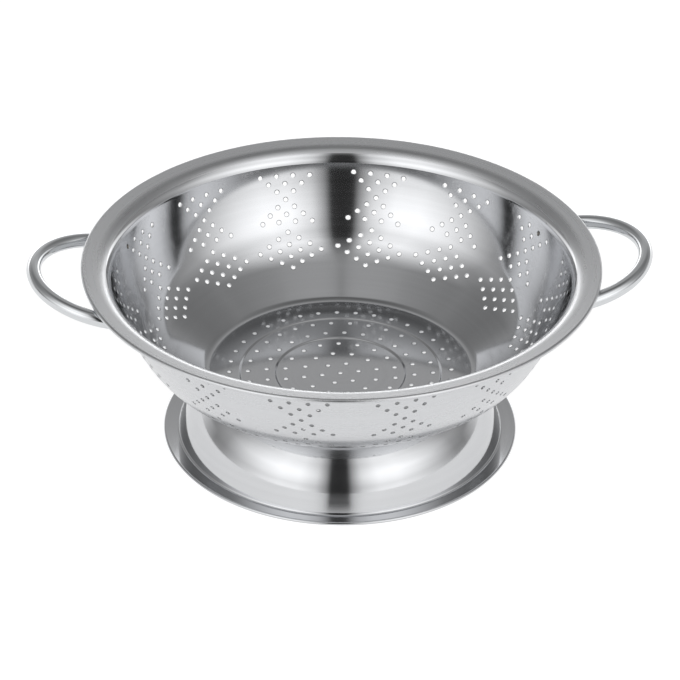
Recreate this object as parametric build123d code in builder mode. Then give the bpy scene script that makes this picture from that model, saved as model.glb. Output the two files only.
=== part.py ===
from build123d import *
from math import atan2, cos, degrees, radians, sin, sqrt, tan
import os

os.makedirs("parts", exist_ok=True)

# A colander of stainless steel sheet. The origin is the centre of the circle that the foot stands on,
# +Z is up, and the two handles lie along X. Lengths are in millimetres, angles in degrees.
# Drawn bends are made of a few chords each, which keeps the facets of the finished part few.

# Sheet metal
sheet = 0.7
overrun = 3.0

# Floor of the bowl, with two shallow steps pressed down towards the middle. Its edge, its steps and its
# rings of holes keep their distance from the foot's seat, which is welded under it.
floor_height = 35.0
floor_edge_reach = 7.9
step_drop = 0.8
step_seat_gap = 8.6
step_width = 19.6

# Side of the bowl, from the floor outwards: heel, cone, belly, wall, shoulder, flange and curled lip
heel_bend_radius = 9.0
heel_chords = 2
cone_slope = 33.0
cone_length = 22.4
belly_bend_radius = 46.0
belly_chords = 2
belly_slope = 60.0
wall_bend_radius = 134.0
wall_chords = 2
wall_top_slope = 75.6
shoulder_bend_radius = 11.0
shoulder_chords = 2
flange_slope = 7.8
flange_width = 5.75
lip_bend_radius = 1.25
lip_chords = 3
lip_turn = 165.0

# Drain holes. Each has four sides and the area of a round punch of 2.5.
hole_width = 2.2
floor_ring_count = 6
floor_ring_seat_gap = 2.4
first_ring_holes = 6
floor_ring_turn = 6.7

# Motif of the wall: two triangles that meet at a tip, above a diamond, repeated round the bowl
column_count = 14
column_turn = -2.0
motif_lean = 2.7
tip_depth = 19.5
upper_row_pitch = 4.6
lower_row_pitch = 4.3
triangle_rows = 3
triangle_hole_pitch = 9.8
diamond_depth = 38.45
diamond_row_pitch = 3.57
diamond_hole_pitch = 12.06
diamond_side_count = 4

# Foot, from the seat under the floor outwards: seat, shoulder, domed skirt, straight run, groove,
# flange that rises a little outwards, curled edge and flat hem
foot_radius = 98.0
foot_seat_width = 6.6637
foot_shoulder_bend_radius = 2.5
foot_shoulder_chords = 1
skirt_top_slope = 42.0
skirt_foot_slope = 72.5
skirt_chords = 3
skirt_run = 11.0
groove_bend_radius = 1.2
groove_chords = 2
foot_flange_slope = -10.0
foot_flange_width = 6.5
foot_edge_bend_radius = 0.95
foot_edge_chords = 3
foot_hem_width = 1.2

# Handles
bar_radius = 4.0
loop_radius = 42.4
loop_tilt = 11.8
handle_reach = 29.0
leg_length = 22.0
lip_clearance = 0.3
weld_gap = 0.1

# Welds
weld_leg = 1.8
spot_count = 8
spot_radius = 1.5
spot_sides = 6
spot_depth = 0.4
spot_clearance = 0.05


def heading(angle):
    return Vector(cos(radians(angle)), sin(radians(angle)))


# How far a bend carries a path outwards and upwards
def bend_shift(radius, start_angle, end_angle):
    side = 1 if end_angle > start_angle else -1
    return side * radius * (heading(end_angle - 90) - heading(start_angle - 90))


# Corners of the face of a sheet that lies depth to the right of a path of runs and bends.
# A move is (length, 0, 0) for a straight run, or (bend radius, turn, chords) with a left turn positive.
def sheet_face(start, angle, moves, depth):
    corners = [start + depth * heading(angle - 90)]
    for size, turn, chords in moves:
        if chords == 0:
            corners.append(corners[-1] + size * heading(angle))
        for _ in range(chords):
            radius = size + depth if turn > 0 else size - depth
            corners.append(corners[-1] + bend_shift(radius, angle, angle + turn / chords))
            angle += turn / chords
    return corners


# Both faces of a sheet as one row of corners that closes on itself
def sheet_outline(start, angle, moves):
    outer_face = sheet_face(start, angle, moves, 0)
    inner_face = sheet_face(start, angle, moves, sheet)
    return outer_face + inner_face[::-1]


# Path of the foot's outer face. Its seat touches the floor's underside and its hem stands on the table,
# so the dome of the skirt takes up the height that the other parts leave.
seat_height = floor_height - sheet
flange_end_radius = foot_radius - foot_edge_bend_radius * (1 - sin(radians(foot_flange_slope)))
flange_end_height = foot_edge_bend_radius * (1 + cos(radians(foot_flange_slope)))
groove_shift = bend_shift(groove_bend_radius, -skirt_foot_slope, -foot_flange_slope)
groove_top = (
    Vector(flange_end_radius, flange_end_height)
    - foot_flange_width * heading(-foot_flange_slope)
    - groove_shift
)
skirt_end = groove_top - skirt_run * heading(-skirt_foot_slope)
foot_shoulder_shift = bend_shift(foot_shoulder_bend_radius, 0, -skirt_top_slope)
skirt_height = seat_height + foot_shoulder_shift.Y - skirt_end.Y
skirt_bend_radius = skirt_height / (cos(radians(skirt_top_slope)) - cos(radians(skirt_foot_slope)))
skirt_shift = bend_shift(skirt_bend_radius, -skirt_top_slope, -skirt_foot_slope)
seat_outer_radius = skirt_end.X - skirt_shift.X - foot_shoulder_shift.X
foot_seat_inner_radius = seat_outer_radius - foot_seat_width
seat_start = Vector(foot_seat_inner_radius, seat_height)
foot_moves = [
    (foot_seat_width, 0, 0),
    (foot_shoulder_bend_radius, -skirt_top_slope, foot_shoulder_chords),
    (skirt_bend_radius, skirt_top_slope - skirt_foot_slope, skirt_chords),
    (skirt_run, 0, 0),
    (groove_bend_radius, skirt_foot_slope - foot_flange_slope, groove_chords),
    (foot_flange_width, 0, 0),
    (foot_edge_bend_radius, foot_flange_slope - 180, foot_edge_chords),
    (foot_hem_width, 0, 0),
]
spot_circle_radius = (foot_seat_inner_radius + seat_outer_radius) / 2

# Path of the bowl's inner face
side_moves = [
    (heel_bend_radius, cone_slope, heel_chords),
    (cone_length, 0, 0),
    (belly_bend_radius, belly_slope - cone_slope, belly_chords),
    (wall_bend_radius, wall_top_slope - belly_slope, wall_chords),
]
shoulder_moves = [
    (shoulder_bend_radius, flange_slope - wall_top_slope, shoulder_chords),
    (flange_width, 0, 0),
]
lip_moves = [(lip_bend_radius, -lip_turn, lip_chords)]
floor_radius = foot_seat_inner_radius + floor_edge_reach
outer_step_radius = foot_seat_inner_radius - step_seat_gap
inner_step_radius = outer_step_radius - step_width
floor_ring_pitch = (foot_seat_inner_radius - floor_ring_seat_gap) / floor_ring_count
floor_edge = Vector(floor_radius, floor_height)
flange_edge = sheet_face(floor_edge, 0, side_moves + shoulder_moves, 0)[-1]
lip_centre = flange_edge + lip_bend_radius * heading(flange_slope - 90)
rim_radius = lip_centre.X + lip_bend_radius
lip_bottom = lip_centre.Y - lip_bend_radius
floor_corners = [
    (0, floor_height - 2 * step_drop),
    (inner_step_radius, floor_height - 2 * step_drop),
    (inner_step_radius + step_drop, floor_height - step_drop),
    (outer_step_radius, floor_height - step_drop),
    (outer_step_radius + step_drop, floor_height),
    (floor_radius, floor_height),
]

with BuildLine() as bowl_side:
    Polyline(*sheet_face(floor_edge, 0, side_moves, 0))
side_line = bowl_side.wire()


# Each hole of one motif as its place across the column and its distance down the wall
def motif_holes():
    holes = []
    for row in range(-triangle_rows, triangle_rows + 1):
        pitch = upper_row_pitch if row < 0 else lower_row_pitch
        for place in range(abs(row) + 1):
            across = (place - abs(row) / 2) * triangle_hole_pitch
            holes.append((across, tip_depth + row * pitch))
    for i in range(diamond_side_count):
        for j in range(diamond_side_count):
            across = (i - j) * diamond_hole_pitch / 2
            holes.append((across, diamond_depth + (i + j) * diamond_row_pitch))
    return holes


# Where a hole of the motif comes on the wall's inner face: the point there, the slope and the azimuth
def wall_place(across, depth):
    lean = radians(motif_lean)
    centre_depth = (tip_depth + diamond_depth) / 2
    below = depth - centre_depth
    leaned_across = across * cos(lean) + below * sin(lean)
    leaned_depth = centre_depth + below * cos(lean) - across * sin(lean)
    point = side_line.position_at(side_line.length - leaned_depth, PositionMode.LENGTH)
    along = side_line.tangent_at(side_line.length - leaned_depth, PositionMode.LENGTH)
    return point, degrees(atan2(along.Y, along.X)), degrees(leaned_across / point.X)


# One column of the bowl's side, centred on +X. Each hole's section is turned round the axis by the hole's width.
hole_arc = degrees(hole_width / wall_place(0, (tip_depth + diamond_depth) / 2)[0].X)
with BuildPart() as side_sector:
    with BuildSketch(Plane.XZ.rotated((0, 0, -180 / column_count))):
        with BuildLine():
            Polyline(*sheet_outline(floor_edge, 0, side_moves + shoulder_moves + lip_moves), close=True)
        make_face()
    revolve(axis=Axis.Z, revolution_arc=360 / column_count)
    for across, depth in motif_holes():
        point, slope, azimuth = wall_place(across, depth)
        with BuildSketch(Plane.XZ.rotated((0, 0, azimuth - hole_arc / 2))):
            with Locations((point.X, point.Y)):
                Rectangle(hole_width, 4 * sheet, rotation=slope)
    revolve(axis=Axis.Z, revolution_arc=hole_arc, mode=Mode.SUBTRACT)

with BuildPart() as bowl:
    with BuildSketch(Plane.XZ):
        with BuildLine():
            Polyline(*floor_corners, *[(r, z - sheet) for r, z in floor_corners[::-1]], close=True)
        make_face()
    revolve(axis=Axis.Z)
    with BuildSketch(Plane.XY.offset(floor_height + overrun)):
        Rectangle(hole_width, hole_width)
        for ring in range(1, floor_ring_count + 1):
            with PolarLocations(ring * floor_ring_pitch, first_ring_holes * ring, floor_ring_turn):
                Rectangle(hole_width, hole_width)
    extrude(amount=-(2 * overrun + 2 * step_drop + sheet), mode=Mode.SUBTRACT)
    with PolarLocations(0, column_count, column_turn):
        add(side_sector.part)
    with BuildSketch(Plane.XY.offset(seat_height)):
        with PolarLocations(spot_circle_radius, spot_count):
            RegularPolygon(spot_radius + spot_clearance, spot_sides)
    extrude(amount=spot_depth, mode=Mode.SUBTRACT)
bowl.part.label = "bowl"
export_step(bowl.part, "parts/bowl.step")

with BuildPart() as foot:
    with BuildSketch(Plane.XZ):
        with BuildLine():
            Polyline(*sheet_outline(seat_start, 0, foot_moves), close=True)
        make_face()
    revolve(axis=Axis.Z)
    with BuildSketch(Plane.XY.offset(seat_height)):
        with PolarLocations(spot_circle_radius, spot_count):
            RegularPolygon(spot_radius + spot_clearance, spot_sides)
    extrude(amount=-spot_depth, mode=Mode.SUBTRACT)
foot.part.label = "foot"
export_step(foot.part, "parts/foot.step")

# Each nugget fills half its height in the floor and half in the foot's seat.
with BuildPart() as foot_spot_welds:
    with BuildSketch(Plane.XY.offset(seat_height)):
        with PolarLocations(spot_circle_radius, spot_count):
            RegularPolygon(spot_radius, spot_sides)
    extrude(amount=spot_depth, both=True)
foot_spot_welds.part.label = "foot_spot_welds"
export_step(foot_spot_welds.part, "parts/foot_spot_welds.step")


# Everything inside the bowl's side, grown outwards by depth from its inner face
def bowl_space_outline(depth):
    corners = sheet_face(floor_edge, 0, side_moves + shoulder_moves, depth)
    top = corners[-1].Y + overrun
    return [Vector(0, corners[0].Y)] + corners + [Vector(corners[-1].X, top), Vector(0, top)]


# The handle's loop is a half circle in a tilted plane. Its two legs run straight on to the wall.
tilt = radians(loop_tilt)
loop_centre_radius = rim_radius + handle_reach - bar_radius - loop_radius * cos(tilt)
lip_crossing = sqrt(rim_radius**2 - loop_radius**2) - loop_centre_radius
loop_height = lip_bottom - lip_clearance - bar_radius / cos(tilt) - lip_crossing * tan(tilt)
loop_plane = Plane(
    origin=(loop_centre_radius, 0, loop_height),
    x_dir=(cos(tilt), 0, sin(tilt)),
    z_dir=(-sin(tilt), 0, cos(tilt)),
)
leg_ends = [loop_plane.from_local_coords((-leg_length, side * loop_radius, 0)) for side in (-1, 1)]
leg_planes = [Plane(origin=end, x_dir=loop_plane.z_dir, z_dir=loop_plane.x_dir) for end in leg_ends]

with BuildPart() as whole_bar:
    with BuildLine(loop_plane):
        Line((-leg_length, -loop_radius), (0, -loop_radius))
        CenterArc((0, 0), loop_radius, -90, 180)
        Line((0, loop_radius), (-leg_length, loop_radius))
    with BuildSketch(leg_planes[0]):
        Circle(bar_radius)
    sweep()

with BuildPart() as cut_space:
    with BuildSketch(Plane.XZ):
        with BuildLine():
            Polyline(*bowl_space_outline(sheet + weld_gap), close=True)
        make_face()
    revolve(axis=Axis.Z)

with BuildPart() as bowl_space:
    with BuildSketch(Plane.XZ):
        with BuildLine():
            Polyline(*bowl_space_outline(sheet), close=True)
        make_face()
    revolve(axis=Axis.Z)

with BuildPart() as weld_space:
    with BuildSketch(Plane.XZ):
        with BuildLine():
            Polyline(*bowl_space_outline(sheet + weld_leg), close=True)
        make_face()
    revolve(axis=Axis.Z)

with BuildPart() as right_handle:
    add(whole_bar.part)
    add(cut_space.part, mode=Mode.SUBTRACT)
right_handle.part.label = "right_handle"
export_step(right_handle.part, "parts/right_handle.step")

with BuildPart() as left_handle:
    add(right_handle.part, rotation=(0, 0, 180))
left_handle.part.label = "left_handle"
export_step(left_handle.part, "parts/left_handle.step")

# A collar of weld metal closes the gap between each leg and the wall.
with BuildPart() as weld_pair:
    with BuildSketch(*leg_planes):
        Circle(bar_radius + weld_leg)
    extrude(amount=leg_length)
    add(weld_space.part, mode=Mode.INTERSECT)
    add(bowl_space.part, mode=Mode.SUBTRACT)
    add(whole_bar.part, mode=Mode.SUBTRACT)

with BuildPart() as handle_welds:
    with PolarLocations(0, 2):
        add(weld_pair.part)
handle_welds.part.label = "handle_welds"
export_step(handle_welds.part, "parts/handle_welds.step")
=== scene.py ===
import bpy
import numpy as np
from math import cos, pi, radians, sin, sqrt, tan
from mathutils import Matrix
from mathutils.geometry import delaunay_2d_cdt


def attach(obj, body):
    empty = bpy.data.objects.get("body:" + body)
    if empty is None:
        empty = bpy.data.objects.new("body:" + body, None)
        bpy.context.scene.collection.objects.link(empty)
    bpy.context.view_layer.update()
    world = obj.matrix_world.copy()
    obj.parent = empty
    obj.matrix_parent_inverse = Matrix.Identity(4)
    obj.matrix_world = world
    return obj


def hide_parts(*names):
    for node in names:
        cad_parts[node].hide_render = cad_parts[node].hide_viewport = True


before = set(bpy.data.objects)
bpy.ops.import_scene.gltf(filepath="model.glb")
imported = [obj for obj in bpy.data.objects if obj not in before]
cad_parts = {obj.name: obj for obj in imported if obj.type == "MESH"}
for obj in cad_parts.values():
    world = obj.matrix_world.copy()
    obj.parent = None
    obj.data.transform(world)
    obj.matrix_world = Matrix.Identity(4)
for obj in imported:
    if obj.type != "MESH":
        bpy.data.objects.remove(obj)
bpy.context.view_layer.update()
print("frame loaded")

mm = 0.001
photoTurn = radians(5.5)  # the colander is turned this much in the photo, so the camera and lights go round it
columns = 196  # facets round every turned surface, fourteen for each column of holes
gauge = 0.7  # sheet metal, in mm as all sizes here
uvRadius = 0.12  # metres of pattern for each radian round the axis
mergeGap = 1e-7  # metres; points that are closer become one
sliver = 1e-6  # flat triangles whose doubled area is smaller are left out


def traceSheet(start, angle, moves, step):
    # Walks runs (length, None) and bends (radius, turn), left turns positive. Each row is radius, height, slope in
    # radians and distance walked; a bend's points lie on its arc, at most step mm or twelve degrees apart.
    rows = np.array([[start[0], start[1], radians(angle), 0.0]])
    for size, turn in moves:
        r, z, a, along = rows[-1]
        if turn is None:
            t = np.linspace(0, size, max(1, int(np.ceil(size / step))) + 1)[1:]
            more = [r + t * cos(a), z + t * sin(a), t * 0 + a, along + t]
        else:
            length = size * abs(radians(turn))
            count = max(2, int(np.ceil(max(length / step, abs(turn) / 12))))
            t = np.linspace(0, 1, count + 1)[1:]
            side, b = np.sign(turn), a + radians(turn) * t
            outwards, upwards = side * size * (np.sin(b) - sin(a)), side * size * (cos(a) - np.cos(b))
            more = [r + outwards, z + upwards, b, along + length * t]
        rows = np.vstack([rows, np.column_stack(more)])
    return rows


def spun(rz, normals, along, paint, flip=False):
    # A row of radius and height goes round the axis: x and y are radius times cosine and sine of the column's angle.
    turn = startAngle + np.arange(columns + 1) * 2 * pi / columns
    c, s = np.cos(turn[:-1]), np.sin(turn[:-1])
    around = lambda a: np.stack([a[:, :1] * c, a[:, :1] * s, np.repeat(a[:, 1:2], columns, 1)], -1).reshape(-1, 3)
    i, j = [a.ravel() for a in np.meshgrid(np.arange(len(rz) - 1), np.arange(columns), indexing="ij")]
    corners = [(i, j), (i + 1, j), (i + 1, j + 1), (i, j + 1)]
    corners = corners[::-1] if flip else corners
    faces = np.stack([a * columns + b % columns for a, b in corners], 1)
    uv = np.stack([np.column_stack([turn[b] * uvRadius, along[a] * mm]) for a, b in corners], 1)
    paints = np.full(len(faces), paint)
    return {"v": around(rz) * mm, "f": faces, "n": around(normals)[faces], "uv": uv, "m": paints}


def spunSheet(path, paintIn, paintOut, closeStart, closeEnd):
    # Both faces of a bent sheet: the traced face, and the same moved one gauge to the right of the walk.
    left = np.column_stack([-np.sin(path[:, 2]), np.cos(path[:, 2])])
    near, far, along = path[:, :2], path[:, :2] - gauge * left, path[:, 3]
    out = [spun(near, left, along, paintIn), spun(far, -left, along, paintOut, flip=True)]
    for row, wanted, sign in ((0, closeStart, -1), (-1, closeEnd, 1)):
        if wanted:
            ahead = sign * np.array([[cos(path[row, 2]), sin(path[row, 2])]] * 2)
            out.append(spun(np.array([near[row], far[row]]), ahead, along[[row, row]], paintOut, flip=sign < 0))
    return out


def punched(flat, loops, centres, stretch, place):
    # Joins flat points into triangles round the holes, and lifts them on to both faces of the sheet. place turns flat
    # x and y into radius, angle, height, slope and distance along the sheet, and stretch is how much wider x is flat.
    rings = holeRings(centres, holeSizes["radius"], stretch)
    outerRings = holeRings(centres, holeSizes["radius"] + holeSizes["edgeWidth"], stretch)
    flat = np.vstack([flat, outerRings.reshape(-1, 2)])
    count, corners = rings.shape[:2]
    ringIds = len(flat) + np.arange(count * corners).reshape(count, corners)
    points = np.vstack([flat, rings.reshape(-1, 2)])
    edges = np.vstack([loops, np.stack([ringIds, np.roll(ringIds, -1, 1)], -1).reshape(-1, 2)])
    _, _, faces, source, _, _ = delaunay_2d_cdt(points.tolist(), edges.tolist(), [], 0, 1e-7)
    faces = np.concatenate(source)[np.array(faces)]  # back to the numbers that the points had before
    # triangles whose middle lies in a hole go; a ring's chords run a little inside its radius
    faces = faces[awayFrom(points[faces].mean(1), centres, stretch, holeSizes["radius"] * 0.975)]
    a, b, c = points[faces[:, 0]], points[faces[:, 1]], points[faces[:, 2]]
    area = np.cross(b - a, c - a)
    faces, area = faces[np.abs(area) > sliver], area[np.abs(area) > sliver]
    faces[area < 0] = faces[area < 0][:, ::-1]

    def lift(p):
        r, turn, z, slope, along = place(p[:, 0], p[:, 1])
        up = np.column_stack([-np.sin(slope) * np.cos(turn), -np.sin(slope) * np.sin(turn), np.cos(slope)])
        spot = np.column_stack([r * np.cos(turn), r * np.sin(turn), z])
        return spot, up, np.column_stack([turn * uvRadius, along * mm])

    near, up, uv = lift(points)
    middles = lift(centres)[0]
    far = near - gauge * up
    inward = np.repeat(middles, corners, 0) - near[ringIds.ravel()]
    inward /= np.linalg.norm(inward, axis=1)[:, None]
    rolled = up.copy()
    tilt = radians(holeSizes["edgeTilt"])
    rolled[ringIds.ravel()] = up[ringIds.ravel()] * cos(tilt) + inward * sin(tilt)
    total = len(points)
    nearUv = uv[faces]
    wraps = np.ptp(nearUv[..., 0], axis=1) > pi * uvRadius  # faces that cross the seam of the angle
    nearUv[wraps, :, 0] += np.where(nearUv[wraps, :, 0] < 0, 2 * pi * uvRadius, 0)
    p, q = ringIds.ravel(), np.roll(ringIds, -1, 1).ravel()
    byRing = np.zeros((total, 3))
    byRing[ringIds.ravel()] = inward
    wall = np.stack([p, q, q + total, p + total], 1)
    triangles = np.vstack([faces, faces[:, ::-1] + total])
    return [
        {"v": np.vstack([near, far]) * mm, "f": triangles, "n": np.vstack([rolled, -up])[triangles],
         "uv": np.concatenate([nearUv, nearUv[:, ::-1]]),
         "m": np.repeat([0, 1], len(faces))},
        {"v": np.vstack([near, far]) * mm, "f": wall, "n": np.vstack([byRing, byRing])[wall],
         "uv": uv[wall % total], "m": np.full(len(wall), 1)},
    ]


def makePiece(name, patches, materials, node):
    # Puts the patches together, merges the points they share, and gives each face corner its worked-out normal.
    starts = np.cumsum([0] + [len(p["v"]) for p in patches[:-1]])
    points = np.vstack([p["v"] for p in patches])
    cells = np.round(points / mergeGap + 0.37).astype(np.int64)  # the shift keeps round sizes off the cells' edges
    _, first, same = np.unique(cells, axis=0, return_index=True, return_inverse=True)
    points, same = points[first], same.ravel()
    corners = np.concatenate([same[p["f"] + s].ravel() for p, s in zip(patches, starts)])
    sizes = np.concatenate([np.full(len(p["f"]), p["f"].shape[1]) for p in patches])
    mesh = bpy.data.meshes.new(name)
    mesh.vertices.add(len(points))
    mesh.vertices.foreach_set("co", points.astype(np.float32).ravel())
    mesh.loops.add(len(corners))
    mesh.loops.foreach_set("vertex_index", corners.astype(np.int32))
    mesh.polygons.add(len(sizes))
    mesh.polygons.foreach_set("loop_start", np.concatenate([[0], np.cumsum(sizes)[:-1]]).astype(np.int32))
    mesh.polygons.foreach_set("loop_total", sizes.astype(np.int32))
    mesh.polygons.foreach_set("material_index", np.concatenate([p["m"] for p in patches]).astype(np.int32))
    uv = np.concatenate([p["uv"].reshape(-1, 2) for p in patches]).astype(np.float32)
    mesh.uv_layers.new(name="metal").data.foreach_set("uv", uv.ravel())
    mesh.update(calc_edges=True)
    normals = np.concatenate([p["n"].reshape(-1, 3) for p in patches])
    normals /= np.linalg.norm(normals, axis=1)[:, None]
    mesh.polygons.foreach_set("use_smooth", np.ones(len(sizes), bool))
    mesh.normals_split_custom_set(normals.tolist())
    mesh.validate()
    for material in materials:
        mesh.materials.append(material)
    piece = bpy.data.objects.new(name, mesh)
    bpy.context.scene.collection.objects.link(piece)
    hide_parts(node)
    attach(piece, "root")
    return piece


# Materials

def shade(code):
    # A colour written as on screen becomes the linear one the shader wants.
    values = [int(code[i:i + 2], 16) / 255 for i in (0, 2, 4)]
    return tuple(v / 12.92 if v <= 0.04045 else ((v + 0.055) / 1.055) ** 2.4 for v in values) + (1.0,)


def addNode(tree, kind, settings=None, links=None):
    # settings are the node's own or its sockets' values, links are socket name to the socket that feeds it
    node = tree.nodes.new(kind)
    for key, value in (settings or {}).items():
        if isinstance(key, str) and hasattr(node, key):
            setattr(node, key, value)
        else:
            node.inputs[key].default_value = value
    for key, source in (links or {}).items():
        tree.links.new(source, node.inputs[key])
    return node


def setRamp(node, stops):
    ramp = node.color_ramp
    while len(ramp.elements) > 1:
        ramp.elements.remove(ramp.elements[-1])
    ramp.elements[0].position, ramp.elements[0].color = stops[0][0], (stops[0][1],) * 3 + (1.0,)
    for place, value in stops[1:]:
        ramp.elements.new(place).color = (value,) * 3 + (1.0,)


steelLooks = {
    # color, roughness low and high, depth of the lines in mm, lines per metre across the work, and along it.
    # Real buffing marks are a few hundredths of a mm apart. These are 0.3 to 1.1 mm, so that they show.
    # Stainless sheet, spun and buffed, mirrors the lamps with slightly soft edges.
    "polishedSteel": ("c8c9cb", 0.075, 0.105, 0.0004, 2600, 3.0),
    # The same sheet as it left the press has a broad soft shine.
    "satinSteel": ("cdced0", 0.24, 0.34, 0.004, 3400, 5.0),
    # Stainless bar, cold drawn, shows long narrow lights.
    "barSteel": ("ced0d2", 0.06, 0.11, 0.0004, 2200, 8.0),
    # Weld metal, wire brushed, is duller and a little tanned by the heat.
    "weldSteel": ("a9a49c", 0.26, 0.42, 0.004, 900, 400.0),
}
steelGrain = {
    "lineDetail": 4.0,
    "bandShare": 0.12,  # broad bands for each line
    "hazeScale": 38.0,  # marks of handling, about 26 mm wide
    "sumRange": (0.8, 1.5),  # between these the sum of the three patterns goes from smooth to rough
    "bandRange": (0.3, 0.7),
    "darkest": 0.96,
}


def makeSteel(name):
    # Fine lines run round the piece in the uv's first direction, a soft haze of handling lies over them, and both
    # change the roughness. The lines also carry a shallow bump.
    color, low, high, depth, across, along = steelLooks[name]
    grain = steelGrain
    material = bpy.data.materials.new(name)
    material.use_nodes = True
    tree = material.node_tree
    tree.nodes.clear()
    where = addNode(tree, "ShaderNodeTexCoord")
    fine = addNode(tree, "ShaderNodeMapping", {"Scale": (along, across, 1.0)}, {"Vector": where.outputs["UV"]})
    lines = addNode(
        tree, "ShaderNodeTexNoise", {"Scale": 1.0, "Detail": grain["lineDetail"], "Roughness": 0.6},
        {"Vector": fine.outputs["Vector"]})
    broad = addNode(
        tree, "ShaderNodeMapping", {"Scale": (along * 0.6, across * grain["bandShare"], 1.0)},
        {"Vector": where.outputs["UV"]})
    bands = addNode(tree, "ShaderNodeTexNoise", {"Scale": 1.0, "Detail": 2.0}, {"Vector": broad.outputs["Vector"]})
    haze = addNode(
        tree, "ShaderNodeTexNoise", {"Scale": grain["hazeScale"], "Detail": 5.0, "Roughness": 0.65},
        {"Vector": where.outputs["Object"]})
    mixed = addNode(
        tree, "ShaderNodeMath", {"operation": "MULTIPLY_ADD", 1: 0.5},
        {0: lines.outputs["Fac"], 2: bands.outputs["Fac"]})
    both = addNode(
        tree, "ShaderNodeMath", {"operation": "MULTIPLY_ADD", 1: 0.8},
        {0: haze.outputs["Fac"], 2: mixed.outputs["Value"]})
    least, most = grain["sumRange"]
    rough = addNode(
        tree, "ShaderNodeMapRange", {"From Min": least, "From Max": most, "To Min": low, "To Max": high},
        {"Value": both.outputs["Value"]})
    least, most = grain["bandRange"]
    tint = addNode(
        tree, "ShaderNodeMapRange", {"From Min": least, "From Max": most, "To Min": grain["darkest"], "To Max": 1.0},
        {"Value": bands.outputs["Fac"]})
    coloured = addNode(
        tree, "ShaderNodeMix", {"data_type": "RGBA", "blend_type": "MULTIPLY", 0: 1.0, 6: shade(color)},
        {7: tint.outputs["Result"]})
    bump = addNode(
        tree, "ShaderNodeBump", {"Strength": 1.0, "Distance": depth * mm}, {"Height": mixed.outputs["Value"]})
    metal = addNode(
        tree, "ShaderNodeBsdfPrincipled", {"Metallic": 1.0},
        {"Base Color": coloured.outputs[2], "Roughness": rough.outputs["Result"], "Normal": bump.outputs["Normal"]})
    addNode(tree, "ShaderNodeOutputMaterial", None, {"Surface": metal.outputs["BSDF"]})
    return material


steels = {name: makeSteel(name) for name in steelLooks}
print("steel materials made")


# Bowl

bowlSizes = {
    "floorHeight": 35.0,
    "floorRadius": 71.5,
    "stepDrop": 0.8,
    "stepRadii": (55.4, 35.8),
    "stepWidth": 1.6,
    "heelBend": 9.0,
    "coneSlope": 33.0,
    "coneLength": 22.4,
    "bellyBend": 46.0,
    "bellySlope": 60.0,
    "wallBend": 134.0,
    "wallTopSlope": 75.6,
    "shoulderBend": 11.0,
    "flangeSlope": 7.8,
    "flangeWidth": 5.68,
    "lipBend": 1.25,
    "lipTurn": 165.0,
}

holeSizes = {
    "radius": 1.25,
    "corners": 16,
    "edgeWidth": 0.42,  # the punch rolls the edge of the sheet this far
    "edgeTilt": 40.0,
    "columnCount": 14,
    "columnTurn": -2.0,
    "lean": 2.7,
    "tipDepth": 19.5,
    "upperRowPitch": 4.6,
    "lowerRowPitch": 4.3,
    "triangleRows": 3,
    "trianglePitch": 9.8,
    "diamondDepth": 38.45,
    "diamondRowPitch": 3.57,
    "diamondPitch": 12.06,
    "diamondSide": 4,
    "floorRings": 6,
    "floorPitch": 10.2,
    "floorTurn": 6.7,
    "punchedDepth": 64.0,
}

startAngle = radians(holeSizes["columnTurn"]) - pi / holeSizes["columnCount"]
sideMoves = [
    (bowlSizes["heelBend"], bowlSizes["coneSlope"]),
    (bowlSizes["coneLength"], None),
    (bowlSizes["bellyBend"], bowlSizes["bellySlope"] - bowlSizes["coneSlope"]),
    (bowlSizes["wallBend"], bowlSizes["wallTopSlope"] - bowlSizes["bellySlope"]),
]
rimMoves = [
    (bowlSizes["shoulderBend"], bowlSizes["flangeSlope"] - bowlSizes["wallTopSlope"]),
    (bowlSizes["flangeWidth"], None),
    (bowlSizes["lipBend"], -bowlSizes["lipTurn"]),
]
fineSide = traceSheet((bowlSizes["floorRadius"], bowlSizes["floorHeight"]), 0, sideMoves, 0.1)
sideLength = fineSide[-1, 3]


def sideAt(along):
    # Radius, height and slope at a distance along the bowl's side, read between finely traced points
    return [np.interp(along, fineSide[:, 3], fineSide[:, k]) for k in (0, 1, 2)]


def motifHoles():
    # Rows of one more hole each way from a tip make two triangles; equal steps on two slants make the diamond.
    s = holeSizes
    rows = np.arange(-s["triangleRows"], s["triangleRows"] + 1)
    spots = [
        ((place - abs(row) / 2) * s["trianglePitch"],
         s["tipDepth"] + row * (s["upperRowPitch"] if row < 0 else s["lowerRowPitch"]))
        for row in rows for place in range(abs(row) + 1)
    ]
    i, j = [a.ravel() for a in np.meshgrid(np.arange(s["diamondSide"]), np.arange(s["diamondSide"]))]
    diamond = np.column_stack([(i - j) * s["diamondPitch"] / 2, s["diamondDepth"] + (i + j) * s["diamondRowPitch"]])
    spots = np.vstack([spots, diamond])
    lean, middle = radians(s["lean"]), (s["tipDepth"] + s["diamondDepth"]) / 2
    below = spots[:, 1] - middle
    return np.column_stack([
        spots[:, 0] * cos(lean) + below * sin(lean),
        middle + below * cos(lean) - spots[:, 0] * sin(lean),
    ])


def holeRings(centres, radius, stretch):
    # Circle points round each centre, with x stretched where the flat sheet is wider than the real one
    turn = (np.arange(holeSizes["corners"]) + 0.5) * 2 * pi / holeSizes["corners"]
    ring = radius * np.column_stack([np.cos(turn), np.sin(turn)])
    return centres[:, None] + ring[None] * np.stack([stretch, np.ones(len(centres))], -1)[:, None]


def awayFrom(points, centres, stretch, gap):
    # True for each flat point that is further than gap from every hole's centre on the real sheet
    apart = (points[:, None] - centres) / np.stack([stretch, np.ones(len(centres))], -1)
    return (np.linalg.norm(apart, axis=2) > gap).all(1)


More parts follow.
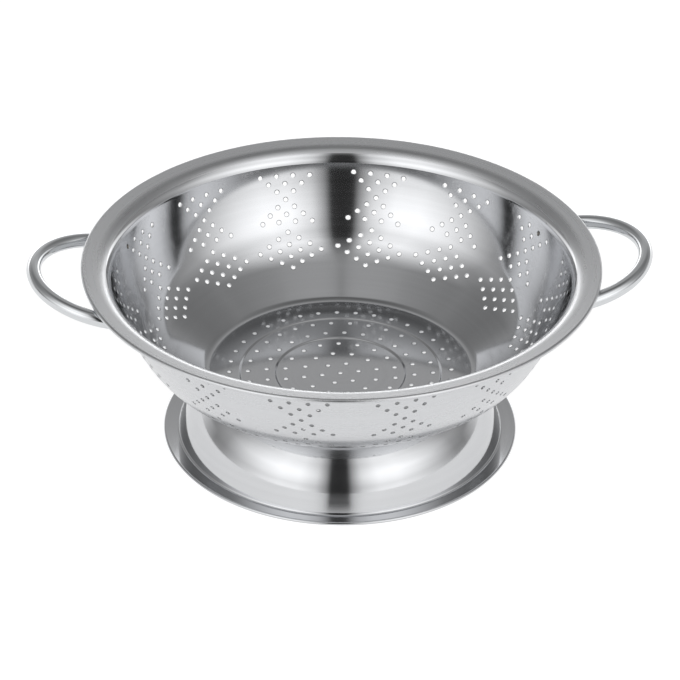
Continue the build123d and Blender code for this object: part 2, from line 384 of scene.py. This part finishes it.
def punchedWall():
    # One column of the wall is flattened to angle times a fixed radius, and depth below the shoulder; the others
    # are the same turned by a fourteenth.
    flatRadius, depth, count = 117.0, holeSizes["punchedDepth"], columns // holeSizes["columnCount"]
    half = pi / holeSizes["columnCount"] * flatRadius
    spots = motifHoles()
    radiusThere = sideAt(sideLength - spots[:, 1])[0]
    centres = np.column_stack([spots[:, 0] / radiusThere * flatRadius, spots[:, 1]])
    stretch = flatRadius / radiusThere
    xs, ys = np.linspace(-half, half, count + 1), np.linspace(0, depth, 25)
    edge = np.vstack([
        np.column_stack([xs, xs * 0]),
        np.column_stack([ys[1:] * 0 + half, ys[1:]]),
        np.column_stack([xs[::-1][1:], xs[1:] * 0 + depth]),
        np.column_stack([ys[::-1][1:-1] * 0 - half, ys[::-1][1:-1]]),
    ])
    loop = np.column_stack([np.arange(len(edge)), np.roll(np.arange(len(edge)), -1)])
    gx, gy = np.meshgrid(xs[1:-1], ys[1:-1])
    middle = np.column_stack([gx.ravel(), gy.ravel()])
    middle = middle[awayFrom(middle, centres, stretch, holeSizes["radius"] + 1.2)]
    patches = []
    for k in range(holeSizes["columnCount"]):
        base = radians(holeSizes["columnTurn"]) + k * 2 * pi / holeSizes["columnCount"]

        def place(x, y):
            r, z, slope = sideAt(sideLength - y)
            return r, base + x / flatRadius, z, slope, sideLength - y

        patches += punched(np.vstack([edge, middle]), loop, centres, stretch, place)
    return patches


def floorShape(r):
    # The floor drops at each step along a smooth S of width stepWidth, and its slope is that S's rate of change
    z, rate = np.full_like(r, bowlSizes["floorHeight"]), np.zeros_like(r)
    for radius in bowlSizes["stepRadii"]:
        t = np.clip((r - radius) / bowlSizes["stepWidth"] + 0.5, 0, 1)
        z -= bowlSizes["stepDrop"] * (1 - t * t * (3 - 2 * t))
        rate += bowlSizes["stepDrop"] * 6 * t * (1 - t) / bowlSizes["stepWidth"]
    return z, np.arctan(rate)


def punchedFloor():
    # Rings of six more holes each time round one in the middle
    s = holeSizes
    counts = [6 * k for k in range(1, s["floorRings"] + 1)]
    angles = [radians(s["floorTurn"]) + np.arange(n) * 2 * pi / n for n in counts]
    centres = np.vstack([[[0.0, 0.0]]] + [
        (k + 1) * s["floorPitch"] * np.column_stack([np.cos(a), np.sin(a)]) for k, a in enumerate(angles)])
    turn = startAngle + np.arange(columns) * 2 * pi / columns
    edge = bowlSizes["floorRadius"] * np.column_stack([np.cos(turn), np.sin(turn)])
    loop = np.column_stack([np.arange(columns), np.roll(np.arange(columns), -1)])
    # rings of mesh points 3.4 mm apart, and five close ones on each step
    radii = [(r, int(r * 1.7)) for r in np.arange(4.0, 70, 3.4)]
    for radius in bowlSizes["stepRadii"]:
        radii = [x for x in radii if abs(x[0] - radius) > 1.8]
        radii += [(radius + t * bowlSizes["stepWidth"], 120) for t in (-0.5, -0.25, 0, 0.25, 0.5)]
    rings = [r * np.column_stack([np.cos(a), np.sin(a)]) for r, n in radii for a in [np.arange(n) * 2 * pi / n]]
    ones = np.ones(len(centres))
    middle = np.vstack(rings)
    middle = middle[awayFrom(middle, centres, ones, s["radius"] + 1.0)]

    def place(x, y):
        r = np.hypot(x, y)
        z, slope = floorShape(r)
        return r, np.arctan2(y, x), z, slope, r - bowlSizes["floorRadius"]

    return punched(np.vstack([edge, middle]), loop, centres, ones, place)


lowerEnd = sideLength - holeSizes["punchedDepth"]
lowerAlong = np.linspace(0, lowerEnd, 12)
lowerPath = np.column_stack(sideAt(lowerAlong) + [lowerAlong])
rimPath = traceSheet(fineSide[-1, :2], np.degrees(fineSide[-1, 2]), rimMoves, 1.6)
rimPath[:, 3] += sideLength
bends = rimPath[:, 3] < sideLength + 0.55 * bowlSizes["shoulderBend"]
insideEnd = int(bends.sum())
bowlPatches = punchedFloor() + spunSheet(lowerPath, 0, 1, False, False) + punchedWall()
bowlPatches += spunSheet(rimPath[:insideEnd], 0, 1, False, False)
bowlPatches += spunSheet(rimPath[insideEnd - 1:], 1, 1, False, True)
bowlSteels = [steels["polishedSteel"], steels["satinSteel"]]
bowl = makePiece("bowlSheet", bowlPatches, bowlSteels, "bowl")
print("bowl punched:", len(bowl.data.polygons), "faces")


# Foot

footSizes = {
    "radius": 97.97,
    "seatInner": 63.6,
    "shoulderBend": 2.5,
    "skirtTop": 42.0,
    "skirtFoot": 72.5,
    "skirtRun": 11.0,
    "grooveBend": 1.2,
    "flangeSlope": -10.0,
    "flangeWidth": 6.5,
    "edgeBend": 0.95,
    "hemWidth": 1.2,
}


def footPath():
    # The skirt's dome has a radius that follows from the heights and slopes that it joins: height over the
    # difference of the two cosines.
    s = footSizes
    top, low, flange = radians(s["skirtTop"]), radians(s["skirtFoot"]), radians(s["flangeSlope"])
    seatHeight = bowlSizes["floorHeight"] - gauge
    flangeR = s["radius"] - s["edgeBend"] * (1 - sin(flange)) - s["flangeWidth"] * cos(flange)
    flangeZ = s["edgeBend"] * (1 + cos(flange)) + s["flangeWidth"] * sin(flange)
    grooveR = flangeR - s["grooveBend"] * (sin(low) - sin(flange))
    grooveZ = flangeZ + s["grooveBend"] * (cos(flange) - cos(low))
    domeR, domeZ = grooveR - s["skirtRun"] * cos(low), grooveZ + s["skirtRun"] * sin(low)
    skirt = (seatHeight - s["shoulderBend"] * (1 - cos(top)) - domeZ) / (cos(top) - cos(low))
    seatOuter = domeR - skirt * (sin(low) - sin(top)) - s["shoulderBend"] * sin(top)
    moves = [
        (seatOuter - s["seatInner"], None),
        (s["shoulderBend"], -s["skirtTop"]),
        (skirt, s["skirtTop"] - s["skirtFoot"]),
        (s["skirtRun"], None),
        (s["grooveBend"], s["skirtFoot"] - s["flangeSlope"]),
        (s["flangeWidth"], None),
        (s["edgeBend"], s["flangeSlope"] - 180),
        (s["hemWidth"], None),
    ]
    return traceSheet((s["seatInner"], seatHeight), 0, moves, 1.5)


footPatches = spunSheet(footPath(), 0, 0, True, True)
makePiece("footRing", footPatches, [steels["polishedSteel"]], "foot")
print("foot spun")


# Handles and their welds

handleSizes = {
    "barRadius": 4.0,
    "loopRadius": 42.4,
    "loopTilt": 11.8,
    "reach": 28.9,
    "lipClearance": 0.4,
    "legRows": (12.0, 5.0),  # rings of points this far down each leg; the first slides on to the wall
    "sinkIn": 0.2,  # the bar ends this far inside the wall's face
    "weldLeg": 1.9,
    "weldOverlap": 0.05,  # the bead's edges lie this far under the faces that it joins
    "weldRoot": 0.4,  # and its root this far
    "ripples": 21,  # steps of the weld puddle round the bar
    "rippleDepth": 0.07,  # as a share of the leg
}

shoulderSide = traceSheet(fineSide[-1, :2], np.degrees(fineSide[-1, 2]), rimMoves[:2], 0.2)
outerSide = np.vstack([fineSide, shoulderSide])
outerSide = outerSide[:, :2] - gauge * np.column_stack([-np.sin(outerSide[:, 2]), np.cos(outerSide[:, 2])])
rimRadius, lipBottom = rimPath[:, 0].max(), rimPath[:, 1][len(rimPath) // 2:].min()
tilt = radians(handleSizes["loopTilt"])
loopCentre = rimRadius + handleSizes["reach"] - handleSizes["barRadius"] - handleSizes["loopRadius"] * cos(tilt)
lipCrossing = sqrt(rimRadius ** 2 - handleSizes["loopRadius"] ** 2) - loopCentre
loopHeight = lipBottom - handleSizes["lipClearance"] - handleSizes["barRadius"] / cos(tilt) - lipCrossing * tan(tilt)
loopOut, loopUp = np.array([cos(tilt), 0, sin(tilt)]), np.array([-sin(tilt), 0, cos(tilt)])


def legReach(across, up):
    # How far a line along a leg, at that place across and up from the loop's middle, runs inwards to the wall's
    # outer face: halving between the loop and the bowl's inside until the radius equals the wall's at that height
    near, far = np.zeros_like(across), np.full_like(across, 25.0)
    for _ in range(40):
        t = (near + far) / 2
        x = loopCentre - t * loopOut[0] + up * loopUp[0]
        z = loopHeight - t * loopOut[2] + up * loopUp[2]
        inside = np.hypot(x, across) < np.interp(z, outerSide[:, 1], outerSide[:, 0])
        near, far = np.where(inside, near, t), np.where(inside, t, far)
    return near


def asWorld(along, across, up):
    # Loop coordinates to the row frame: outwards, across and square to the loop's plane
    x = loopCentre + along * loopOut[0] + up * loopUp[0]
    z = loopHeight + along * loopOut[2] + up * loopUp[2]
    return np.stack([x, across, z], -1)


def gridPatch(points, normals, uv, paint, wrapRows=False):
    # Four-cornered faces over a grid whose columns close on themselves, and whose rows do when wrapRows is set
    rows, cols = points.shape[:2]
    i, j = [a.ravel() for a in np.meshgrid(np.arange(rows if wrapRows else rows - 1), np.arange(cols), indexing="ij")]
    corners = [(i, j), (i, j + 1), (i + 1, j + 1), (i + 1, j)]
    faces = np.stack([a % rows * cols + b % cols for a, b in corners], 1)
    uvs = np.stack([uv[a, b] for a, b in corners], 1)
    p, n = points.reshape(-1, 3), normals.reshape(-1, 3)
    a, b, c = p[faces[:, 0]], p[faces[:, 1]], p[faces[:, 2]]
    if (np.cross(b - a, c - a) * n[faces].mean(1)).sum() < 0:  # the faces turn to agree with the normals
        faces, uvs = faces[:, ::-1], uvs[:, ::-1]
    return {"v": p * mm, "f": faces, "n": n[faces], "uv": uvs, "m": np.full(len(faces), paint)}


def handleBar(side):
    # A circle carried along a half loop with two straight legs. Each end row slides along the leg to the wall.
    s, around = handleSizes, 32
    turn = np.arange(around) * 2 * pi / around
    arc = np.linspace(-pi / 2, pi / 2, 65)
    legs = np.array(s["legRows"])
    along = np.concatenate([-legs, s["loopRadius"] * np.cos(arc), -legs[::-1]])
    across = np.concatenate([[-s["loopRadius"]] * 2, s["loopRadius"] * np.sin(arc), [s["loopRadius"]] * 2])
    bend = np.concatenate([[-pi / 2] * 2, arc, [pi / 2] * 2])  # where the circle's outer side points
    out = np.stack([np.cos(bend), np.sin(bend)], -1)
    wide, high = s["barRadius"] * np.cos(turn), s["barRadius"] * np.sin(turn)
    a = along[:, None] + out[:, :1] * wide
    c = across[:, None] + out[:, 1:] * wide
    u = np.repeat(high[None], len(along), 0)
    a[0], a[-1] = -legReach(c[0], u[0]) - s["sinkIn"], -legReach(c[-1], u[-1]) - s["sinkIn"]
    points = asWorld(a, c, u)
    na, nc = out[:, :1] * np.cos(turn), out[:, 1:] * np.cos(turn)
    nu = np.repeat(np.sin(turn)[None], len(along), 0)
    normals = np.stack([na * loopOut[0] + nu * loopUp[0], nc, na * loopOut[2] + nu * loopUp[2]], -1)
    walked = np.concatenate([[0], np.cumsum(np.hypot(np.diff(along), np.diff(across)))])
    v = np.linspace(0, 2 * pi, around + 1) * s["barRadius"]
    uv = np.stack(np.broadcast_arrays(walked[:, None] * mm, v[None] * mm), -1)
    uv = np.concatenate([uv, uv[-1:]])
    patches = [gridPatch(points, normals, uv, 0)]
    for row, sign in ((0, 1), (-1, -1)):
        ring, middle = points[row], points[row].mean(0)
        fan = np.stack([np.arange(around), np.roll(np.arange(around), -1), np.full(around, around)], 1)[:, ::sign]
        patches.append({"v": np.vstack([ring, middle]) * mm, "f": fan, "n": np.tile(-loopOut, (around, 3, 1)),
                        "uv": np.zeros((around, 3, 2)), "m": np.zeros(around, int)})
    return [halfTurn(p, side) for p in patches]


def halfTurn(p, side):
    # The left pieces are the right ones turned half round the bowl's axis.
    flip = np.array([side, side, 1.0])
    return {**p, "v": p["v"] * flip, "n": p["n"] * flip}


def weldBead(side, leg):
    # A fillet bead: its section swings from the bar to the wall on a nearly flat arc, with ripples as the puddle
    # was moved on, and closes under the surface of both.
    s, around = handleSizes, 96
    turn = np.linspace(0, 2 * pi, around + 1)[:-1][None]
    q = np.linspace(0, pi / 2, 9)[:, None]
    steps = np.sin(turn * s["ripples"] + 0.9 * np.sin(turn * 3)) * np.sin(2 * q)
    width = s["weldLeg"] * (1 + s["rippleDepth"] * steps + 0.06 * np.sin(turn * 2 + leg))
    rho = s["barRadius"] - s["weldOverlap"] + width * (0.6 * (1 - np.cos(q)) + 0.4 * np.sin(q))
    rise = -s["weldOverlap"] + width * (0.6 * (1 - np.sin(q)) + 0.4 * np.cos(q))
    rho = np.vstack([rho, rho[:1] * 0 + s["barRadius"] - s["weldRoot"]])
    rise = np.vstack([rise, rise[:1] * 0 - s["weldRoot"]])
    across, up = leg * s["loopRadius"] + rho * np.cos(turn), rho * np.sin(turn)
    points = asWorld(rise - legReach(across, up), across, up)
    # normals from the grid's own differences, rows by columns
    dRow = np.gradient(points, axis=0)
    dCol = np.roll(points, -1, 1) - np.roll(points, 1, 1)
    normals = np.cross(dCol, dRow)
    outward = points - points.mean((0, 1))
    normals *= np.sign((normals[:9] * outward[:9]).sum())
    walked = np.append(turn[0], 2 * pi)[None] * s["barRadius"] * mm
    uv = np.stack(np.broadcast_arrays(walked, np.arange(11)[:, None] * 0.4 * mm), -1)
    return halfTurn(gridPatch(points, normals, uv, 0, wrapRows=True), side)


makePiece("rightBar", handleBar(1), [steels["barSteel"]], "right_handle")
makePiece("leftBar", handleBar(-1), [steels["barSteel"]], "left_handle")
beads = [weldBead(side, leg) for side in (1, -1) for leg in (1, -1)]
makePiece("weldBeads", beads, [steels["weldSteel"]], "handle_welds")
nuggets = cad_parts["foot_spot_welds"]
nuggets.data.materials.clear()
nuggets.data.materials.append(steels["weldSteel"])
print("handles bent and welded")


# Studio: a white sweep of floor, and a lamp room that the metal mirrors

studio = {
    "floorSize": 6.0,
    "floorColor": "b2b2b2",
    "floorLift": 0.78,
    "keyPower": 1.0,
    "gapAngle": 6.0,  # degrees on either side of the camera
    "gapStart": 0.3,  # metres in front of the object
    "gapEdges": (0.04, 0.1),
    "gapTone": 0.05,
    # degrees round from the camera's side, and degrees above the floor, each with its share of light
    "bankRound": [
        (0, 0.02), (6, 0.02), (9, 0.48), (16, 1.22), (28, 1.7), (42, 1.76), (56, 1.5), (72, 1.08), (90, 0.52),
        (112, 0.34), (140, 0.28), (152, 0.34), (168, 0.54), (180, 0.56)],
    "bankUp": [
        (-10, 0.95), (2, 0.84), (7, 0.76), (12, 0.88), (22, 1.05), (36, 0.8), (50, 0.86), (60, 0.56), (72, 0.16),
        (88, 0)],
    "farRound": [(100, 0), (135, 0.7), (155, 1.4), (180, 1.7)],
    "farUp": [(-10, 1.5), (8, 1.5), (12, 0.15), (30, 0)],
    "topRound": [(0, 1), (85, 1), (115, 0.4), (180, 0.4)],
    "topUp": [(45, 0.02), (60, 0.2), (72, 0.34), (90, 0.4)],
}
photoCamera = {
    "pitch": 31.98,
    "roll": 0.61,
    "distance": 1.533,
    "target": (-0.00043, 0, 0.05476),
    "lensPixels": 2800,  # focal length, in pixels of a picture this wide:
    "pictureWidth": 680,
}


def makeFloor():
    # Pale paper that lifts itself to white. In front of the object a wedge of it is dark in reflections, because
    # the dark gap between the lamp banks goes on down there.
    mesh = bpy.data.meshes.new("studioFloor")
    h = studio["floorSize"] / 2
    mesh.from_pydata([(-h, -h, 0), (h, -h, 0), (h, h, 0), (-h, h, 0)], [], [(0, 1, 2, 3)])
    floor = bpy.data.objects.new("studioFloor", mesh)
    bpy.context.scene.collection.objects.link(floor)
    material = bpy.data.materials.new("paperFloor")
    material.use_nodes = True
    tree = material.node_tree
    tree.nodes.clear()
    where = addNode(tree, "ShaderNodeTexCoord")
    grain = addNode(
        tree, "ShaderNodeTexNoise", {"Scale": 900.0, "Detail": 3.0}, {"Vector": where.outputs["Object"]})
    bump = addNode(
        tree, "ShaderNodeBump", {"Strength": 0.1, "Distance": 0.0002}, {"Height": grain.outputs["Fac"]})
    swing = addNode(
        tree, "ShaderNodeMapping", {"vector_type": "POINT", "Rotation": (0, 0, photoTurn)},
        {"Vector": where.outputs["Object"]})
    parts = addNode(tree, "ShaderNodeSeparateXYZ", None, {0: swing.outputs["Vector"]})
    side = addNode(tree, "ShaderNodeMath", {"operation": "ABSOLUTE"}, {0: parts.outputs["X"]})
    front = addNode(
        tree, "ShaderNodeMath", {"operation": "MULTIPLY", 1: -tan(radians(studio["gapAngle"]))},
        {0: parts.outputs["Y"]})
    past = addNode(
        tree, "ShaderNodeMath", {"operation": "SUBTRACT"}, {0: side.outputs["Value"], 1: front.outputs["Value"]})
    sideEdge, startEdge = studio["gapEdges"]
    beside = addNode(
        tree, "ShaderNodeMapRange", {"From Min": 0.0, "From Max": sideEdge}, {"Value": past.outputs["Value"]})
    near = addNode(
        tree, "ShaderNodeMapRange", {"From Min": -studio["gapStart"] - startEdge, "From Max": -studio["gapStart"]},
        {"Value": parts.outputs["Y"]})
    mirrored = addNode(
        tree, "ShaderNodeMath", {"operation": "MAXIMUM"}, {0: beside.outputs["Result"], 1: near.outputs["Result"]})
    path = addNode(tree, "ShaderNodeLightPath")
    lit = addNode(
        tree, "ShaderNodeMath", {"operation": "MAXIMUM"},
        {0: mirrored.outputs["Value"], 1: path.outputs["Is Camera Ray"]})
    strength = addNode(
        tree, "ShaderNodeMath", {"operation": "MULTIPLY", 1: studio["floorLift"]}, {0: lit.outputs["Value"]})
    dark = (studio["gapTone"],) * 3 + (1,)
    tone = addNode(
        tree, "ShaderNodeMix", {"data_type": "RGBA", 6: dark, 7: shade(studio["floorColor"])},
        {0: lit.outputs["Value"]})
    paper = addNode(
        tree, "ShaderNodeBsdfPrincipled", {"Roughness": 0.9, "Specular IOR Level": 0.2},
        {"Base Color": tone.outputs[2], "Normal": bump.outputs["Normal"]})
    lift = addNode(tree, "ShaderNodeEmission", {"Color": (1, 1, 1, 1)}, {"Strength": strength.outputs["Value"]})
    added = addNode(tree, "ShaderNodeAddShader", None, {0: paper.outputs["BSDF"], 1: lift.outputs["Emission"]})
    seen = addNode(
        tree, "ShaderNodeMath", {"operation": "MAXIMUM"},
        {0: path.outputs["Is Camera Ray"], 1: path.outputs["Is Glossy Ray"]})
    seenToo = addNode(
        tree, "ShaderNodeMath", {"operation": "MAXIMUM"},
        {0: seen.outputs["Value"], 1: path.outputs["Is Transmission Ray"]})
    chosen = addNode(
        tree, "ShaderNodeMixShader", None,
        {0: seenToo.outputs["Value"], 1: paper.outputs["BSDF"], 2: added.outputs["Shader"]})
    addNode(tree, "ShaderNodeOutputMaterial", None, {"Surface": chosen.outputs["Shader"]})
    mesh.materials.append(material)


def makeWorld():
    # Two bright banks of lamps stand beside the camera with a dark gap between them, a low bright wall stands behind
    # the object, and the ceiling is grey. Each is its light by angle round, times its light by angle up.
    world = bpy.data.worlds.new("lampRoom")
    bpy.context.scene.world = world
    world.use_nodes = True
    tree = world.node_tree
    tree.nodes.clear()
    where = addNode(tree, "ShaderNodeTexCoord")
    turn = addNode(
        tree, "ShaderNodeMapping", {"vector_type": "POINT", "Rotation": (0, 0, photoTurn)},
        {"Vector": where.outputs["Generated"]})
    parts = addNode(tree, "ShaderNodeSeparateXYZ", None, {0: turn.outputs["Vector"]})
    back = addNode(tree, "ShaderNodeMath", {"operation": "MULTIPLY", 1: -1.0}, {0: parts.outputs["Y"]})
    angle = addNode(
        tree, "ShaderNodeMath", {"operation": "ARCTAN2"}, {0: parts.outputs["X"], 1: back.outputs["Value"]})
    size = addNode(tree, "ShaderNodeMath", {"operation": "ABSOLUTE"}, {0: angle.outputs["Value"]})
    share = addNode(tree, "ShaderNodeMath", {"operation": "DIVIDE", 1: pi}, {0: size.outputs["Value"]})
    height = addNode(tree, "ShaderNodeMath", {"operation": "ARCSINE"}, {0: parts.outputs["Z"]})
    climb = addNode(tree, "ShaderNodeMath", {"operation": "DIVIDE", 1: pi / 2}, {0: height.outputs["Value"]})
    lifted = addNode(
        tree, "ShaderNodeMapRange", {"From Min": -1.0, "From Max": 1.0}, {"Value": climb.outputs["Value"]})
    rounds, ups = share.outputs["Value"], lifted.outputs["Result"]

    def ramp(name, source, start):
        # The stops are degrees past the start, as shares of half a turn, with half their values, as colours end at 1.
        node = addNode(tree, "ShaderNodeValToRGB", None, {"Fac": source})
        setRamp(node, [((at - start) / 180, value / 2) for at, value in studio[name]])
        return node.outputs["Color"]

    def light(name):
        # Both ramps hold half values, so their product is a quarter of the light.
        quarter = addNode(
            tree, "ShaderNodeMath", {"operation": "MULTIPLY"},
            {0: ramp(name + "Round", rounds, 0), 1: ramp(name + "Up", ups, -90)})
        whole = addNode(tree, "ShaderNodeMath", {"operation": "MULTIPLY", 1: 4.0}, {0: quarter.outputs["Value"]})
        return whole.outputs["Value"]

    sides = addNode(tree, "ShaderNodeMath", {"operation": "ADD"}, {0: light("bank"), 1: light("far")})
    glow = addNode(tree, "ShaderNodeMath", {"operation": "ADD"}, {0: sides.outputs["Value"], 1: light("top")})
    room = addNode(tree, "ShaderNodeBackground", {"Color": (1, 1, 1, 1)}, {"Strength": glow.outputs["Value"]})
    white = addNode(tree, "ShaderNodeBackground", {"Color": (1, 1, 1, 1), "Strength": 1.0})
    path = addNode(tree, "ShaderNodeLightPath")
    chosen = addNode(
        tree, "ShaderNodeMixShader", None,
        {0: path.outputs["Is Camera Ray"], 1: room.outputs["Background"], 2: white.outputs["Background"]})
    addNode(tree, "ShaderNodeOutputWorld", None, {"Surface": chosen.outputs["Shader"]})


def makeCamera():
    # Stands where the photo was taken: a long lens, looking down, rolled a little.
    p = photoCamera
    pitch, roll = radians(p["pitch"]), radians(p["roll"])
    ahead = np.array([0, cos(pitch), -sin(pitch)])
    level, steep = np.array([1.0, 0, 0]), np.array([0, sin(pitch), cos(pitch)])
    right, up = level * cos(roll) + steep * sin(roll), -level * sin(roll) + steep * cos(roll)
    spot = np.array(p["target"]) - ahead * p["distance"]
    c, s = cos(-photoTurn), sin(-photoTurn)
    swing = np.array([[c, -s, 0], [s, c, 0], [0, 0, 1]])
    place = np.eye(4)
    place[:3, :3] = swing @ np.stack([right, up, -ahead], 1)
    place[:3, 3] = swing @ spot
    data = bpy.data.cameras.new("photoCamera")
    data.sensor_width, data.clip_start = 36.0, 0.05
    data.lens = p["lensPixels"] * data.sensor_width / p["pictureWidth"]
    camera = bpy.data.objects.new("photoCamera", data)
    camera.matrix_world = Matrix(place.tolist())
    bpy.context.scene.collection.objects.link(camera)
    bpy.context.scene.camera = camera


def makeLamps():
    # One wide soft lamp overhead gives the floor its shadow.
    data = bpy.data.lights.new("overheadLamp", "AREA")
    data.shape, data.size, data.size_y, data.energy = "RECTANGLE", 1.6, 1.2, studio["keyPower"]
    lamp = bpy.data.objects.new("overheadLamp", data)
    lamp.location = (0.0, -0.1, 1.9)
    lamp.visible_glossy = False
    bpy.context.scene.collection.objects.link(lamp)


makeFloor()
makeWorld()
makeCamera()
makeLamps()
bpy.context.scene.view_settings.view_transform = "Standard"
print("studio lit")
